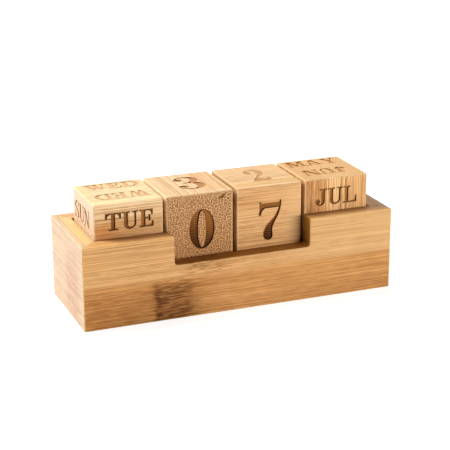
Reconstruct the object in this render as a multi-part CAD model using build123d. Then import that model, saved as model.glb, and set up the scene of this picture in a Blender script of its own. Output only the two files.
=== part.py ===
from build123d import *
import os

# Perpetual desk calendar in bamboo: a holder of four mitred boards round a raised
# floor, and four loose engraved cubes standing in a row in its pocket.
# Millimetres. Origin at the bottom centre, +X along the row, front towards -Y, +Z up.

# ---- cubes --------------------------------------------------------------------
CUBE = 35.0                 # edge of every cube
CUBE_EASE = 0.8             # rounding sanded on all the cube edges
ENGRAVE = 0.8               # depth of the burnt lettering
CUBE_LEFTS = {              # left side of each cube as it stands in the row
    "weekday_cube": -73.15,
    "tens_cube": -36.7,
    "units_cube": 0.4,
    "month_cube": 37.1,
}

# ---- holder -------------------------------------------------------------------
LENGTH = 164.0              # outside, along X
DEPTH = 55.4                # outside, along Y
HEIGHT = 42.5               # outside, along Z
WALL = 8.4                  # board thickness
BOARD_EASE = 0.5            # rounding sanded on the outer board edges
FRONT_CLEARANCE = 0.6       # cube faces stand this far behind the front board

FLOOR_TOP = HEIGHT - CUBE / 2    # the pocket hides the lower half of each cube
FLOOR_THICKNESS = 6.0
FLOOR_TONGUE = 3.0          # how far the floor is let into each wall
GROOVE_SLACK = 0.3          # room at the bottom of the grooves for movement
BASE_THICKNESS = 5.0

# ---- notch in the front board ---------------------------------------------------
NOTCH_LEFT = -35.6
NOTCH_RIGHT = 36.2
NOTCH_BOTTOM = 27.9
NOTCH_CORNER = 1.5          # cutter radius in the lower corners
NOTCH_SHOULDER = 0.9        # rounding where the notch meets the rim

# ---- lettering ------------------------------------------------------------------
CAP = 8.7                   # height of capital letters
HAIR = 0.65                 # thin strokes and slab serifs
THIN = 0.85                 # thin upright stems
THICK = 2.0                 # thick upright stems
SERIF = 0.95                # serif overhang each side of a stem
TRACKING = 0.35             # gap between letters
FIGURE = 20.4               # height of the numerals
FIGURE_HAIR = 0.9           # thin strokes of the numerals
BASELINE = 4.0              # baseline of a word above the middle of its face
CUT_OVERRUN = 0.2           # tools start this far outside the face


def outline(start, *runs):
    """Face inside a closed path: a point is a straight run to it, a list of two
    points an arc through the first, and a longer list a smooth curve."""
    edges = []
    here = start
    for run in runs:
        if isinstance(run, tuple):
            edges.append(Line(here, run))
            here = run
        elif len(run) == 2:
            edges.append(ThreePointArc(here, *run))
            here = run[-1]
        else:
            edges.append(Spline(here, *run))
            here = run[-1]
    if here != start:
        edges.append(Line(here, start))
    return make_face(edges)


def bar(x0, y0, x1, y1):
    """Upright rectangle between two corners."""
    return Pos((x0 + x1) / 2, (y0 + y1) / 2) * Rectangle(x1 - x0, y1 - y0)


def diagonal(top, bottom, width):
    """Slanted stroke from cap height to the baseline, as wide at both ends."""
    return outline((bottom, 0), (bottom + width, 0), (top + width, CAP), (top, CAP))


def oval(x, y, rx, ry):
    return Pos(x, y) * Ellipse(rx, ry)


def stem(x, width=THICK, foot=True, head=True):
    """Upright stroke with slab serifs at its foot and head."""
    stroke = bar(x, 0, x + width, CAP)
    if foot:
        stroke += bar(x - SERIF, 0, x + width + SERIF, HAIR)
    if head:
        stroke += bar(x - SERIF, CAP - HAIR, x + width + SERIF, CAP)
    return stroke


def beak(x, y, reach, drop):
    """Wedge that closes an arm: it stands at x, hangs by drop and reaches back
    along the arm. Negative values turn it the other way."""
    tip = 0.35 * reach
    return outline((x, y), (x, y - drop), (x + tip, y - drop),
                   [(x + 0.5 * reach, y - 0.45 * drop), (x + reach, y - 0.22 * drop)], (x + reach, y))


def bowl(y0, y1, x, reach, stroke, hair=HAIR):
    """Right half of an oval ring between two heights, starting at x."""
    middle = (y0 + y1) / 2
    half = (y1 - y0) / 2
    ring = oval(x, middle, reach, half) - oval(x, middle, reach - stroke, half - hair)
    return ring & bar(x, y0, x + reach, y1)


def letter_a():
    shape = diagonal(3.1, 0.9, 0.8) + diagonal(3.1, 5.6, 2.2)
    shape += bar(1.8, 2.5, 6.1, 2.5 + HAIR)
    shape += bar(0, 0, 2.6, HAIR) + bar(4.7, 0, 8.7, HAIR)
    return shape, 8.7


def letter_b():
    shape = stem(1.0) + bar(3.0, 0, 4.2, HAIR) + bar(3.0, CAP - HAIR, 4.2, CAP)
    shape += bar(3.0, 4.3, 4.2, 4.3 + HAIR)
    shape += bowl(4.3, CAP, 4.1, 3.3, 1.9) + bowl(0, 4.95, 4.1, 3.9, 2.0)
    return shape, 8.2


def letter_c():
    shape = oval(4.3, CAP / 2, 4.3, CAP / 2) - oval(4.5, CAP / 2, 2.3, CAP / 2 - HAIR)
    shape -= outline((5.2, 6.2), (9.0, 6.2), (9.0, 2.6), (7.9, 2.6), [(6.9, 1.5), (5.2, 0.82)])
    shape += bar(8.2 - HAIR, 5.7, 8.2, CAP)
    return shape, 8.3


def letter_d():
    shape = stem(1.0) + bar(3.0, 0, 4.0, HAIR) + bar(3.0, CAP - HAIR, 4.0, CAP)
    shape += bowl(0, CAP, 3.9, 4.7, 2.1)
    return shape, 8.7


def letter_e():
    shape = letter_f()[0] + bar(3.3, 0, 7.1, HAIR) + beak(7.4, 0, -2.4, -2.8)
    return shape, 7.5


def letter_f():
    shape = stem(1.3) + bar(3.3, CAP - HAIR, 6.9, CAP) + beak(7.1, CAP, -2.2, 2.8)
    shape += bar(3.3, 4.1, 5.4, 4.1 + HAIR) + bar(5.0, 2.8, 5.9, 6.0)
    return shape, 7.2


def letter_g():
    shape = letter_c()[0] + outline((5.9, 3.9), (5.9, 0.6), (7.2, 1.2), (8.1, 2.4), (8.1, 3.9))
    shape += bar(4.9, 3.5, 8.8, 3.5 + HAIR)
    return shape, 8.8


def letter_h():
    return stem(1.0) + stem(6.1) + bar(2.9, 4.0, 6.2, 4.0 + HAIR), 9.1


def letter_i():
    return stem(1.0), 4.0


def letter_j():
    hook = outline((5.4, 2.6), [(4.9, 0.9), (3.9, 0.1), (2.5, -0.1), (0.9, 0.6), (0.15, 2.1)],
                   (1.6, 1.3), [(2.1, 0.65), (2.7, 0.5), (3.2, 1.0), (3.4, 2.6)])
    shape = bar(3.4, 2.6, 5.4, CAP) + hook + oval(1.4, 2.1, 1.25, 1.2)
    shape += bar(2.3, CAP - HAIR, 6.5, CAP)
    return shape, 6.5


def letter_l():
    return stem(1.2) + bar(3.2, 0, 7.4, HAIR) + beak(7.8, 0, -2.4, -3.5), 7.9


def letter_m():
    shape = stem(0.9, THIN) + stem(7.2) + bar(0, CAP - HAIR, 2.6, CAP)
    shape += outline((0.9, CAP), (3.1, CAP), (5.4, 1.6), (4.8, 0), (4.2, 0))
    shape += diagonal(7.3, 4.2, 0.7)
    return shape, 10.1


def letter_n():
    shape = stem(0.9, THIN, head=False) + stem(7.1, THIN, foot=False)
    shape += bar(0, CAP - HAIR, 2.4, CAP) + diagonal(0.8, 5.8, 2.2)
    return shape, 8.9


def letter_o():
    return oval(4.4, CAP / 2, 4.4, CAP / 2) - oval(4.4, CAP / 2, 2.2, CAP / 2 - HAIR), 8.8


def letter_p():
    shape = stem(1.0) + bar(3.0, CAP - HAIR, 4.2, CAP) + bar(3.0, 3.8, 4.2, 3.8 + HAIR)
    shape += bowl(3.8, CAP, 4.1, 3.7, 2.0)
    return shape, 8.0


def letter_r():
    leg = outline((4.2, 4.4), [(6.0, 3.6), (6.6, 1.9), (7.0, 0.3), (8.5, 0)], (9.3, 0.5),
                  [(8.9, 1.0), (8.5, 2.4), (7.6, 3.9), (6.2, 4.6)])
    shape = stem(1.0) + bar(3.0, CAP - HAIR, 4.2, CAP) + bar(3.0, 4.1, 4.4, 4.1 + HAIR)
    shape += bowl(4.1, CAP, 4.1, 3.5, 1.9) + leg
    return shape, 9.2


def letter_s():
    spine = outline((6.2, 6.1), [(5.7, 7.5), (3.9, 8.15), (2.3, 7.3), (2.9, 5.9), (5.2, 4.9), (6.9, 3.4),
                                 (6.3, 0.9), (3.7, -0.1), (0.9, 1.2), (0.35, 3.2)],
                    (0.9, 3.2), [(1.7, 1.2), (3.5, 0.5), (5.2, 1.4), (4.7, 2.9), (2.1, 4.2), (0.6, 5.8),
                                 (1.4, 8.0), (3.8, 8.8), (6.0, 7.9), (6.75, 6.1)])
    shape = spine + bar(0.35, 0, 0.95, 3.2) + bar(6.15, 6.1, 6.75, CAP)
    return shape, 7.1


def letter_t():
    shape = bar(3.0, 0, 5.0, CAP) + bar(1.5, 0, 6.5, HAIR) + bar(0, CAP - HAIR, 8.0, CAP)
    shape += beak(0.05, CAP, 2.6, 3.0) + beak(7.95, CAP, -2.6, 3.0)
    return shape, 8.0


def letter_u():
    cup = outline((1.1, 3.0), [(1.5, 1.2), (2.7, 0.15), (4.4, -0.1), (6.4, 0.8), (7.2, 3.0)],
                  (7.2 - THIN, 3.0), [(6.0, 1.5), (4.8, 0.7), (3.6, 1.1), (3.1, 3.0)])
    shape = bar(1.1, 3.0, 3.1, CAP) + bar(7.2 - THIN, 3.0, 7.2, CAP) + cup
    shape += bar(0.1, CAP - HAIR, 4.1, CAP) + bar(5.3, CAP - HAIR, 8.2, CAP)
    return shape, 8.2


def letter_v():
    shape = diagonal(0.7, 3.5, 2.2) + diagonal(6.8, 4.9, 0.8)
    shape += bar(0, CAP - HAIR, 3.8, CAP) + bar(5.8, CAP - HAIR, 8.6, CAP)
    return shape, 8.6


def letter_w():
    shape = diagonal(0.6, 2.6, 2.0) + diagonal(5.2, 3.85, 0.75)
    shape += diagonal(4.3, 6.3, 2.0) + diagonal(9.0, 7.55, 0.75)
    shape += bar(0, CAP - HAIR, 7.0, CAP) + bar(8.1, CAP - HAIR, 10.5, CAP)
    return shape, 10.5


def letter_y():
    shape = bar(3.5, 0, 5.5, 4.0) + bar(2.4, 0, 6.6, HAIR)
    shape += outline((0.6, CAP), (3.0, CAP), (5.5, 4.0), (3.5, 4.0))
    shape += outline((4.9, 4.0), (5.5, 4.0), (7.7, CAP), (6.8, CAP))
    shape += bar(0, CAP - HAIR, 3.8, CAP) + bar(5.7, CAP - HAIR, 8.5, CAP)
    return shape, 8.5


def figure_0():
    return oval(6.65, FIGURE / 2, 6.65, FIGURE / 2) - oval(6.65, FIGURE / 2, 2.15, 9.35), 13.3


def figure_1():
    flag = outline((3.6, 16.2), (0.8, 16.2), (0.8, 17.1), [(3.4, 18.0), (5.4, FIGURE)], (5.4, 16.2))
    shape = bar(3.6, 0, 8.0, FIGURE) + bar(0.6, 0, 11.0, FIGURE_HAIR) + flag
    return shape, 11.6


def figure_2():
    shape = outline((0.6, 0), (0.6, 1.2), [(1.9, 4.3), (4.4, 7.9), (6.4, 11.6), (6.7, 15.4), (6.0, 18.5),
                                          (4.45, 19.5), (2.8, 18.8), (1.9, 17.2)],
                    (0.9, 16.4), [(2.2, 19.3), (5.2, FIGURE), (8.85, 19.1), (10.3, 15.3), (8.7, 11.2),
                                  (5.15, 7.3), (2.95, 4.4)],
                    [(5.0, 4.4), (7.3, 3.4), (8.85, 3.7), (9.5, 5.9)], (10.25, 5.9),
                    [(10.1, 2.4), (9.2, 0.4), (7.5, 0)])
    return shape + oval(2.4, 15.6, 1.65, 1.9), 10.5


def figure_3():
    shape = outline((0.55, 4.0), [(2.15, 1.2), (6.6, 0), (11.9, 1.7), (14.1, 5.8), (12.85, 9.2), (9.85, 10.8)],
                    [(12.2, 12.4), (13.25, 15.5), (11.65, 19.0), (6.95, FIGURE), (2.7, 19.1), (1.2, 16.6)],
                    (2.35, 17.2), [(3.85, 18.8), (6.4, 19.5), (8.55, 18.4), (9.1, 15.5), (8.25, 12.5),
                                   (6.0, 11.2)],
                    (4.3, 11.2), (4.3, 10.3),
                    [(6.3, 10.2), (8.55, 8.9), (9.4, 5.8), (8.75, 2.3), (6.4, 0.9), (3.65, 1.6), (2.15, 3.2)])
    return shape + oval(2.55, 4.9, 2.2, 2.0) + oval(3.1, 15.7, 2.05, 1.8), 14.2


def figure_4():
    shape = bar(7.4, 0, 11.6, FIGURE) + bar(5.2, 0, 13.6, FIGURE_HAIR)
    shape += bar(0.2, 4.9, 13.8, 5.9)
    shape += outline((0.2, 4.9), (1.4, 5.9), (8.6, 18.4), (11.6, FIGURE), (8.4, FIGURE), (0.2, 5.9))
    return shape, 13.8


def figure_5():
    bowl_of_5 = outline((1.6, 10.2), (2.2, 10.2), [(3.6, 12.2), (6.1, 12.7), (8.1, 11.0), (8.6, 6.7),
                                                 (7.9, 2.4), (5.8, 0.9), (3.4, 1.6), (2.0, 3.2)],
                        (0.5, 4.0), [(2.0, 1.2), (6.0, 0), (11.0, 1.8), (13.0, 6.7), (11.2, 11.6),
                                     (6.9, 13.6), (3.6, 13.2), (2.4, 12.2)])
    top = outline((1.6, 10.2), (1.6, FIGURE), [(6.2, 19.5), (11.6, FIGURE)], [(11.2, 17.7), (9.2, 16.6)],
                  [(5.6, 16.1), (2.4, 17.0)], (2.4, 10.2))
    return bowl_of_5 + top + oval(2.4, 4.9, 2.1, 2.0), 13.2


def figure_6():
    shape = oval(6.6, 6.2, 6.4, 6.2) - oval(6.9, 6.0, 2.3, 5.2)
    shape += outline((0.2, 6.2), [(1.2, 13.5), (4.6, 18.6), (10.2, FIGURE)], (10.6, 19.6),
                     [(6.9, 17.8), (5.0, 13.6), (4.6, 6.2)])
    return shape + oval(10.2, 18.0, 1.9, 1.9), 13.2


def figure_7():
    shape = outline((0.4, FIGURE - 0.2), (0.4, 16.4), (0, 13.2), (1.2, 13.2), [(1.9, 15.4), (3.4, 16.7)],
                    (10.9, 16.7),
                    [(9.8, 14.2), (8.0, 11.4), (4.8, 8.3), (2.9, 5.2), (2.5, 2.6), (3.4, 0.6), (5.0, 0),
                     (6.9, 0.6), (7.6, 2.5), (7.3, 5.2), (8.1, 8.2), (10.1, 11.8), (11.5, 15.4),
                     (12.1, 19.0)],
                    (12.1, FIGURE), (11.3, FIGURE), (11.3, 19.3), (1.1, 19.3), (1.1, FIGURE - 0.2))
    return shape, 12.1


def figure_8():
    shape = oval(6.6, 15.2, 5.4, 5.2) + oval(6.6, 5.6, 6.4, 5.6)
    shape -= oval(7.1, 15.4, 2.2, 4.2)
    shape -= oval(6.2, 5.5, 2.4, 4.6)
    return shape, 13.2


LETTERS = {
    "A": letter_a(), "B": letter_b(), "C": letter_c(), "D": letter_d(), "E": letter_e(),
    "F": letter_f(), "G": letter_g(), "H": letter_h(), "I": letter_i(), "J": letter_j(),
    "L": letter_l(), "M": letter_m(), "N": letter_n(), "O": letter_o(), "P": letter_p(),
    "R": letter_r(), "S": letter_s(), "T": letter_t(), "U": letter_u(), "V": letter_v(),
    "W": letter_w(), "Y": letter_y(),
}
FIGURES = [figure_0(), figure_1(), figure_2(), figure_3(), figure_4(),
           figure_5(), figure_6(), figure_7(), figure_8()]


def word(text):
    """Letters of a word side by side, centred on x, standing on y = 0."""
    glyphs = [LETTERS[character] for character in text]
    width = sum(glyph[1] for glyph in glyphs) + TRACKING * (len(glyphs) - 1)
    x = -width / 2
    placed = []
    for shape, advance in glyphs:
        placed.append(Pos(x, 0) * shape)
        x += advance + TRACKING
    return placed


def word_pair(upper, lower):
    """One word upright in the upper half of a face, and one turned over below it."""
    upright = [Pos(0, BASELINE) * shape for shape in word(upper)]
    turned = [Rot(0, 0, 180) * Pos(0, BASELINE) * shape for shape in word(lower)]
    return upright + turned


def figure(value):
    """One numeral in the middle of a face."""
    shape, width = FIGURES[value]
    return [Pos(-width / 2, -FIGURE / 2) * shape]


# Lettering of each cube: face, content and how far the burn sits off centre,
# to the right and up as the face is read.
WEEKDAYS = {
    "front": (word_pair("TUE", "TUE"), (0.4, 0)),
    "top": (word_pair("WED", "WED"), (0.6, 2.2)),
    "left": (word_pair("SUN", "SAT"), (-1.7, -0.7)),
    "right": (word_pair("FRI", "FRI"), (0, 0)),
    "back": (word_pair("THU", "THU"), (0, 0)),
    "bottom": (word_pair("MON", "MON"), (0, 0)),
}
TENS = {
    "front": (figure(0), (1.1, -1.0)),
    "top": (figure(3), (1.1, 0.6)),
    "left": (figure(4), (0, 0)),
    "right": (figure(1), (0, 0)),
    "back": (figure(2), (0, 0)),
    "bottom": (figure(5), (0, 0)),
}
UNITS = {
    "front": (figure(7), (0.3, -1.0)),
    "top": (figure(2), (0.15, -0.3)),
    "left": (figure(8), (0, 0)),
    "right": (figure(0), (0, 0)),
    "back": (figure(1), (0, 0)),
    "bottom": (figure(6), (0, 0)),
}
MONTHS = {
    "front": (word_pair("JUL", "AUG"), (0.1, -0.7)),
    "top": (word_pair("MAY", "JUN"), (-0.8, 2.4)),
    "left": (word_pair("MAR", "APR"), (0, 0)),
    "right": (word_pair("SEP", "OCT"), (0, 0)),
    "back": (word_pair("NOV", "DEC"), (0, 0)),
    "bottom": (word_pair("JAN", "FEB"), (0, 0)),
}


def face_plane(face, centre):
    """Plane of one cube face, its X along the line that the face is read."""
    outward, reading = {
        "front": ((0, -1, 0), (1, 0, 0)),
        "back": ((0, 1, 0), (-1, 0, 0)),
        "left": ((-1, 0, 0), (0, -1, 0)),
        "right": ((1, 0, 0), (0, 1, 0)),
        "top": ((0, 0, 1), (1, 0, 0)),
        "bottom": ((0, 0, -1), (1, 0, 0)),
    }[face]
    return Plane(centre + Vector(outward) * (CUBE / 2), x_dir=reading, z_dir=outward)


def engraved_cube(left, lettering):
    """Sanded bamboo cube with its six faces burnt to the engraving depth."""
    centre = Vector(left + CUBE / 2, -DEPTH / 2 + WALL + FRONT_CLEARANCE + CUBE / 2, FLOOR_TOP + CUBE / 2)
    block = Pos(centre) * Box(CUBE, CUBE, CUBE)
    block = fillet(block.edges(), CUBE_EASE)
    tools = []
    for face, (shapes, shift) in lettering.items():
        plane = face_plane(face, centre).offset(CUT_OVERRUN)
        for shape in shapes:
            tools.append(extrude(plane * Pos(*shift) * shape, -(ENGRAVE + CUT_OVERRUN)))
    return block - tools


def holder_ring():
    """The four walls in one, with the notch, the sanded edges and the floor groove."""
    ring = Box(LENGTH, DEPTH, HEIGHT, align=(Align.CENTER, Align.CENTER, Align.MIN))
    ring -= Box(LENGTH - 2 * WALL, DEPTH - 2 * WALL, HEIGHT, align=(Align.CENTER, Align.CENTER, Align.MIN))

    notch = Pos(0, -DEPTH / 2) * Box(
        NOTCH_RIGHT - NOTCH_LEFT, 3 * WALL, 2 * (HEIGHT - NOTCH_BOTTOM))
    notch = Pos((NOTCH_LEFT + NOTCH_RIGHT) / 2, 0, HEIGHT) * notch
    ring -= notch

    across = ring.edges().filter_by(Axis.Y)
    corners = [edge for edge in across if abs(edge.center().Z - NOTCH_BOTTOM) < 0.01]
    ring = fillet(corners, NOTCH_CORNER)
    across = ring.edges().filter_by(Axis.Y)
    shoulders = [edge for edge in across
                 if edge.center().Z > HEIGHT - 0.01 and abs(edge.center().X) < LENGTH / 2 - 2 * WALL]
    ring = fillet(shoulders, NOTCH_SHOULDER)

    inner_x = LENGTH / 2 - WALL
    inner_y = DEPTH / 2 - WALL
    eased = []
    for edge in ring.edges():
        spot = edge.center()
        upright_inside = edge.geom_type == GeomType.LINE and abs(edge.tangent_at(0).Z) > 0.99 \
            and abs(abs(spot.X) - inner_x) < 0.01 and abs(abs(spot.Y) - inner_y) < 0.01
        foot_inside = spot.Z < 0.01 and abs(spot.X) < inner_x + 0.01 and abs(spot.Y) < inner_y + 0.01
        across_notch = abs(edge.tangent_at(0).Y) > 0.99 and abs(spot.X) < inner_x - WALL
        if not (upright_inside or foot_inside or across_notch):
            eased.append(edge)
    ring = fillet(eased, BOARD_EASE)

    groove = FLOOR_TONGUE + GROOVE_SLACK
    ring -= Pos(0, 0, FLOOR_TOP - FLOOR_THICKNESS) * Box(
        LENGTH - 2 * WALL + 2 * groove, DEPTH - 2 * WALL + 2 * groove, FLOOR_THICKNESS,
        align=(Align.CENTER, Align.CENTER, Align.MIN))
    return ring


def mitre_wedge(side):
    """Space that belongs to the board on one side, between its 45 degree mitre planes."""
    half_x = LENGTH / 2
    half_y = DEPTH / 2
    outlines = {
        "front": [(-half_x, -half_y), (half_x, -half_y), (half_x - half_y, 0), (half_y - half_x, 0)],
        "back": [(half_x, half_y), (-half_x, half_y), (half_y - half_x, 0), (half_x - half_y, 0)],
        "left": [(-half_x, half_y), (-half_x, -half_y), (half_y - half_x, 0)],
        "right": [(half_x, -half_y), (half_x, half_y), (half_x - half_y, 0)],
    }
    return extrude(Polygon(*outlines[side], align=None), HEIGHT)


def floor_board():
    """Shelf that the cubes stand on, its edges let into the walls."""
    return Pos(0, 0, FLOOR_TOP - FLOOR_THICKNESS) * Box(
        LENGTH - 2 * (WALL - FLOOR_TONGUE), DEPTH - 2 * (WALL - FLOOR_TONGUE), FLOOR_THICKNESS,
        align=(Align.CENTER, Align.CENTER, Align.MIN))


def base_board():
    """Panel glued between the walls, flush with their lower edges."""
    return Box(LENGTH - 2 * WALL, DEPTH - 2 * WALL, BASE_THICKNESS,
               align=(Align.CENTER, Align.CENTER, Align.MIN))


def main():
    os.makedirs("parts", exist_ok=True)
    ring = holder_ring()
    nodes = {
        "front_board": ring & mitre_wedge("front"),
        "back_board": ring & mitre_wedge("back"),
        "left_end_board": ring & mitre_wedge("left"),
        "right_end_board": ring & mitre_wedge("right"),
        "floor_board": floor_board(),
        "base_board": base_board(),
    }
    cubes = {"weekday_cube": WEEKDAYS, "tens_cube": TENS, "units_cube": UNITS, "month_cube": MONTHS}
    for name, lettering in cubes.items():
        nodes[name] = engraved_cube(CUBE_LEFTS[name], lettering)
    for name, shape in nodes.items():
        export_step(shape, f"parts/{name}.step")


main()
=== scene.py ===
import math

import bmesh
import bpy
from mathutils import Matrix, Vector, geometry, kdtree, noise


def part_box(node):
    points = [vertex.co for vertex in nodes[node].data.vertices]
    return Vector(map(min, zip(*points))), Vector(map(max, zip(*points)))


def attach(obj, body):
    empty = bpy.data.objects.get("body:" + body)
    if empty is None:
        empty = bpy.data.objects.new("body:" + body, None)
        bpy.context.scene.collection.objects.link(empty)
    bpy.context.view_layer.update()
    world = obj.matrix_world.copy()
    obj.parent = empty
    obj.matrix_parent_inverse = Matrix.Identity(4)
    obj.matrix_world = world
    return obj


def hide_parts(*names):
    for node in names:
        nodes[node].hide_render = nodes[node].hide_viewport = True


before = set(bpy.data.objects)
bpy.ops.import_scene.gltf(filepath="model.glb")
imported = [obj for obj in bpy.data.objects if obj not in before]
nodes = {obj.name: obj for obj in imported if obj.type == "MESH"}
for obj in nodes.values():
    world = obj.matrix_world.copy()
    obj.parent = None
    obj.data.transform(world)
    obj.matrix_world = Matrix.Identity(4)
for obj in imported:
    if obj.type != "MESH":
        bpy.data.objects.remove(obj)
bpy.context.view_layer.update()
scene = bpy.context.scene

# ---- Front board ---------------------------------------------------------------------
# The notched front wall, of carbonised bamboo: strips glued two high and two thick, then
# planed, mitred, sanded and sealed with a thin matt lacquer. Its lower strip is darker,
# and a culm node crosses both strips under the left corner of the notch.

MM = 0.001
STRIP = 22.0                 # mm, width of a strip before the wall was planed to height
PLY = 4.6                    # mm, thickness of a ply before planing; two make a wall
PLANED = 0.7                 # mm planed off under the lower strip

STRIP_SHIFT = 170            # mm along which each strip's piece of the pattern is picked
STAGGER = 0.43               # part of a strip by which the next ply's joints are shifted
STREAK = (130, 3.4)          # mm, length and breadth of a long streak
FIBRE = (80, 0.5)            # mm, of a fine fibre
BUNDLE_PITCH = 0.78          # mm between the dark fibre bundles of bamboo
BUNDLE_SCATTER = 0.6         # how far they stand from an even grid
BUNDLE_EDGE = (0.3, 0.42)    # pitches from a bundle's middle where it begins to fade and ends
BUNDLE_GROWTH = 0.06         # pitches by which its end moves out through one ply
BUNDLE_RELIEF = -0.6         # height of a bundle, where a fibre's is 0 to 1
DRIFT = (30, 4)              # mm, stretch of wood over which the bundles wander
DRIFT_REACH = 0.6            # pitches that they wander
BREAK = (8, 1.3)             # mm, pieces that a bundle's line breaks into along the grain
BREAK_EDGE = (0.38, 0.58)    # noise levels between which a piece fades
BREAK_FAINT = 0.2            # what is left of the line between two pieces
JOINT_EDGE = (0.06, 0.26)    # mm from a glue joint where its dark line is full and gone
END_FACING = (0.6, 0.95)     # how squarely a face cuts the grain before it shows end grain
SAWN = 0.7                   # how much of the cut tone end grain takes
BUNDLE_SHADE = "#906c4e"     # of bundles and glue, over the deep tone

BAMBOO_INPUTS = {
    "Place": "Vector", "Thickness": "Float", "Width": "Float", "Seed": "Float", "End": "Float",
    "Pale": "Color", "Deep": "Color", "Cut": "Color", "Spread": "Float", "Streaks": "Float",
    "Fibres": "Float", "Bundles": "Float", "Lines": "Float", "Joints": "Float",
}
GRAIN = {                    # how strongly each part of the pattern shows
    "Spread": 0.35,          # difference of shade from strip to strip
    "Streaks": 1.2,
    "Fibres": 3.8,
    "Bundles": 0.7,          # as dots on end grain
    "Lines": 0.25,           # as lines along the grain
    "Joints": 0.5,
}


def linear(code):
    """sRGB hex to the linear colour that shaders take."""
    parts = [int(code[i:i + 2], 16) / 255 for i in (1, 3, 5)]
    return tuple(c / 12.92 if c <= 0.04045 else ((c + 0.055) / 1.055) ** 2.4 for c in parts) + (1.0,)


def add(tree, kind, links=None, **settings):
    """One node with its settings and its inputs: a value, a socket, or another node."""
    made = tree.nodes.new(kind)
    for name, value in settings.items():
        setattr(made, name, value)
    for key, value in (links or {}).items():
        if isinstance(key, int):
            socket = made.inputs[key]
        else:
            socket = next(s for s in made.inputs if s.enabled and key in (s.identifier, s.name))
        if isinstance(value, bpy.types.Node):
            value = next(s for s in value.outputs if s.enabled)
        if isinstance(value, bpy.types.NodeSocket):
            tree.links.new(value, socket)
        else:
            socket.default_value = value
    return made


def declare(tree, inputs, outputs):
    """Names the sockets of a node group."""
    for way, sockets in (("INPUT", inputs), ("OUTPUT", outputs)):
        for name, kind in sockets.items():
            tree.interface.new_socket(name, in_out=way, socket_type="NodeSocket" + kind)


def millimetres_from(tree, origin):
    """Object coordinates in millimetres from a point."""
    coordinates = add(tree, "ShaderNodeTexCoord").outputs["Object"]
    return add(tree, "ShaderNodeVectorMath",
               {0: coordinates, 1: [1 / MM] * 3, 2: [-c for c in origin]}, operation="MULTIPLY_ADD")


def grain_noise(tree, place, size, **settings):
    """Noise drawn out along the grain; size is the length and breadth of its blobs."""
    length, breadth = size
    scaled = add(tree, "ShaderNodeVectorMath", {0: place, 1: (1 / length, 1 / breadth, 1 / breadth)},
                 operation="MULTIPLY")
    return add(tree, "ShaderNodeTexNoise", {"Vector": scaled, "Scale": 1.0, **settings})


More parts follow.
